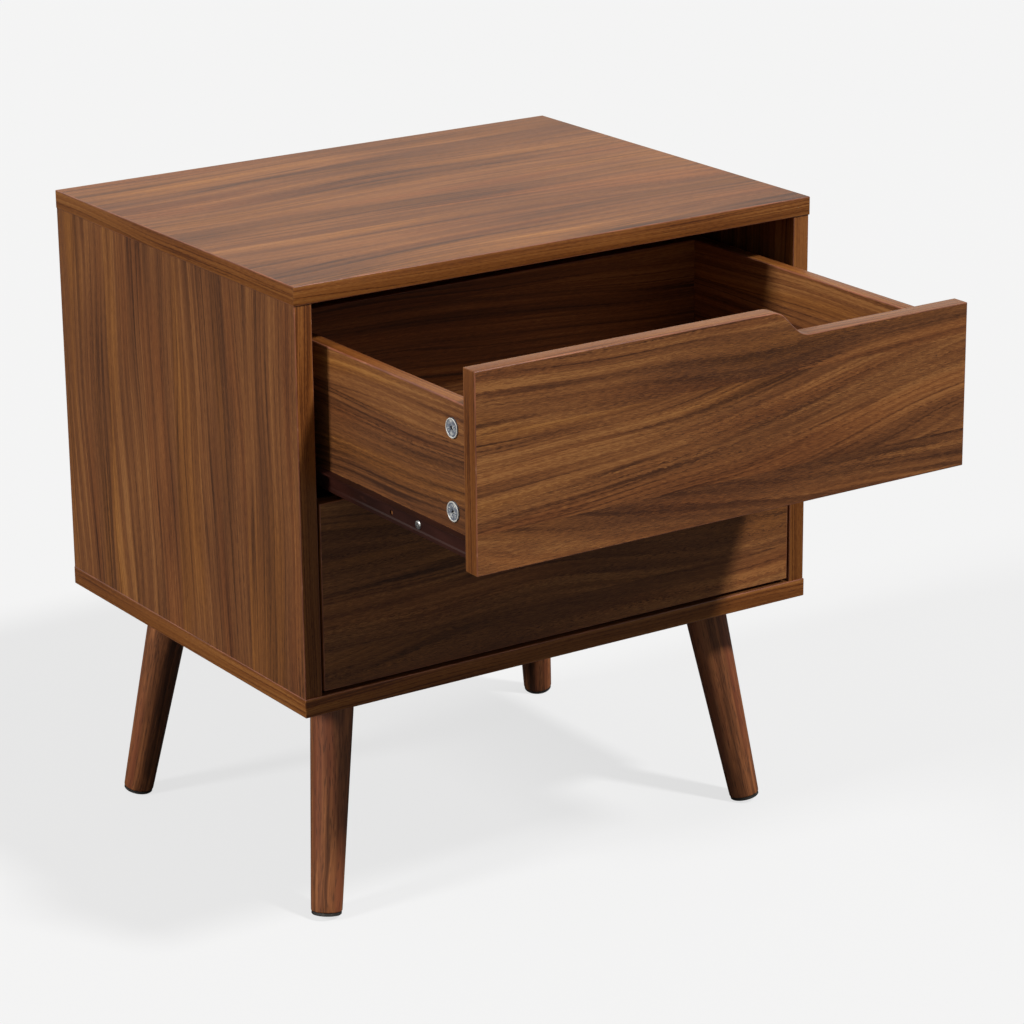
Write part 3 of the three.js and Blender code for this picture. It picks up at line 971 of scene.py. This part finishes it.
def leg_rings(length):
    """The (radius, height) rings of a leg, from its eased foot to just below the level top."""
    rings = []
    for i in range(EASE_STEPS + 1):
        angle = RIGHT_ANGLE * i / EASE_STEPS
        rings.append((LEG_FOOT_RADIUS - LEG_EASE * (1 - math.sin(angle)),
                      LEG_EASE * (1 - math.cos(angle))))
    for i in range(1, SHAFT_RINGS):
        height = LEG_EASE + (length - LEG_EASE - SHAFT_SHORT_OF_TOP) * i / (SHAFT_RINGS - 1)
        rings.append((LEG_FOOT_RADIUS + (LEG_TOP_RADIUS - LEG_FOOT_RADIUS) * height / length, height))
    return rings


def level_ring(mesh, place, top_z, length):
    """The ring where a splayed leg meets the level plane at top_z."""
    inverse = place.inverted()
    level_normal = inverse.to_3x3() @ Vector((0, 0, 1))
    level_point = inverse @ Vector((0, 0, top_z))
    taper = (LEG_TOP_RADIUS - LEG_FOOT_RADIUS) / length
    ring = []
    for i in range(LEG_SEGMENTS):
        angle = 2 * math.pi * i / LEG_SEGMENTS
        out = Vector((math.cos(angle), math.sin(angle), 0))
        base = out * LEG_FOOT_RADIUS
        step = out * taper + Vector((0, 0, 1))
        height = (level_point - base).dot(level_normal) / step.dot(level_normal)
        ring.append(mesh.verts.new(base + step * height))
    return ring


def leg_mesh(name, place, top_z, length):
    """A leg's mesh, with its axis on Z and its foot at 0."""
    mesh = bmesh.new()
    loops = []
    for radius, height in leg_rings(length):
        loop = []
        for i in range(LEG_SEGMENTS):
            angle = 2 * math.pi * i / LEG_SEGMENTS
            loop.append(mesh.verts.new((radius * math.cos(angle), radius * math.sin(angle), height)))
        loops.append(loop)
    loops.append(level_ring(mesh, place, top_z, length))
    for lower, upper in zip(loops, loops[1:]):
        for i in range(LEG_SEGMENTS):
            j = (i + 1) % LEG_SEGMENTS
            face = mesh.faces.new((lower[i], lower[j], upper[j], upper[i]))
            face.smooth = True
    mesh.faces.new(loops[0][::-1])
    mesh.faces.new(loops[-1])
    bmesh.ops.recalc_face_normals(mesh, faces=mesh.faces)
    return mesh_data(name, mesh, LEG_WOOD)


def leg(corner, side_x, side_y):
    """A turned, tapered leg, cut level at the top and eased round its foot."""
    node = f"leg_{corner}"
    top_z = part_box(node)[1].z
    pad_low, pad_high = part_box(f"foot_pad_{corner}")
    pad_middle = (pad_low + pad_high) / 2
    up = Vector((-side_x * LEG_SPLAY, -side_y * LEG_SPLAY, 1)).normalized()
    foot = pad_middle + up * PAD_TO_FOOT * MM
    length = (top_z - foot.z) / up.z

    turn = up.to_track_quat("Z", "Y").to_matrix().to_4x4()
    place = Matrix.Translation(foot) @ turn
    piece = placed(node + "_turned", leg_mesh(node + "_turned", place, top_z, length))
    piece.matrix_world = place
    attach(piece, "cabinet")
    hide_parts(node)
    dress(f"foot_pad_{corner}", PAD_BLACK, PAD_EDGE)


for corner, side_x, side_y in (
    ("front_left", -1, -1),
    ("front_right", 1, -1),
    ("back_left", -1, 1),
    ("back_right", 1, 1),
):
    leg(corner, side_x, side_y)


# ---------------------------------------------------------------------------
# studio
# ---------------------------------------------------------------------------

WARM = (1.0, 0.975, 0.93)
WHITE = (1, 1, 1)
FLOOR_REACH = 60
FLOOR_GLOW = 0.72
ROOM_LIGHT = 0.90
ROOM_LIGHT_ON_MATT = 0.22


def floor():
    """A wide pale floor that throws only a little light back at the object."""
    mesh = bmesh.new()
    bmesh.ops.create_grid(mesh, x_segments=1, y_segments=1, size=FLOOR_REACH)
    s = Shader("studio_floor")
    tone = s.noise(s.local(), (0.6, 0.6, 0.6), 2.0)
    paint = s.mix(tone, colour(98, 99, 101), colour(101, 102, 104))
    path = s.node("ShaderNodeLightPath")
    seen = path.outputs["Is Camera Ray"]
    paint = s.mix(path.outputs["Is Glossy Ray"], paint, colour(70, 70, 70))
    s.plug((*WHITE, 1), s.bsdf.inputs["Emission Color"])
    s.plug(s.times(seen, FLOOR_GLOW), s.bsdf.inputs["Emission Strength"])
    piece = mesh_object("floor", mesh, s.finish(paint, 0.9, specular=0.0))


def soft_light(name, towards, strength, degrees):
    """A warm, distant light that shines from the direction given, as wide as the degrees."""
    data = bpy.data.lights.new(name, "SUN")
    data.energy = strength
    data.angle = math.radians(degrees)
    data.color = WARM
    lamp = placed(name, data)
    lamp.rotation_euler = Vector(towards).to_track_quat("Z", "Y").to_euler()


def room():
    """A pale room: plain white to the camera, warm light elsewhere, and dim on matt surfaces."""
    world = bpy.data.worlds.new("studio")
    world.use_nodes = True
    tree = world.node_tree
    background = tree.nodes["Background"]
    path = tree.nodes.new("ShaderNodeLightPath")
    tint = tree.nodes.new("ShaderNodeMix")
    tint.data_type = "RGBA"
    tint.inputs[6].default_value = (*WARM, 1)
    tint.inputs[7].default_value = (*WHITE, 1)
    tree.links.new(path.outputs["Is Camera Ray"], tint.inputs[0])
    tree.links.new(tint.outputs[2], background.inputs["Color"])
    level = tree.nodes.new("ShaderNodeMapRange")
    level.inputs["To Min"].default_value = ROOM_LIGHT
    level.inputs["To Max"].default_value = ROOM_LIGHT_ON_MATT
    tree.links.new(path.outputs["Is Diffuse Ray"], level.inputs["Value"])
    tree.links.new(level.outputs["Result"], background.inputs["Strength"])
    bpy.context.scene.world = world


def studio():
    """A key from high at the front right, one from the left, and a pale room."""
    room()
    soft_light("key", towards=(0.26, -0.60, 0.76), strength=3.5, degrees=6)
    soft_light("left", towards=(-0.86, 0.03, 0.50), strength=2.6, degrees=12)
    settings = bpy.context.scene.view_settings
    settings.view_transform = "Standard"
    settings.look = "None"


LENS = 128
SENSOR_WIDTH = 36
EYE = Vector((-1.538, -2.422, 1.208))
AIM = Vector((0.0, -0.115, 0.285))
CAMERA_ROLL = math.radians(-0.6)


def camera():
    """From the front left and a little above, with a long lens."""
    data = bpy.data.cameras.new("camera")
    data.lens = LENS
    data.sensor_width = SENSOR_WIDTH
    eye = placed("camera", data)
    eye.location = EYE
    eye.rotation_euler = (AIM - EYE).to_track_quat("-Z", "Y").to_euler()
    eye.rotation_euler.rotate_axis("Z", CAMERA_ROLL)
    bpy.context.scene.camera = eye


floor()
studio()
camera()
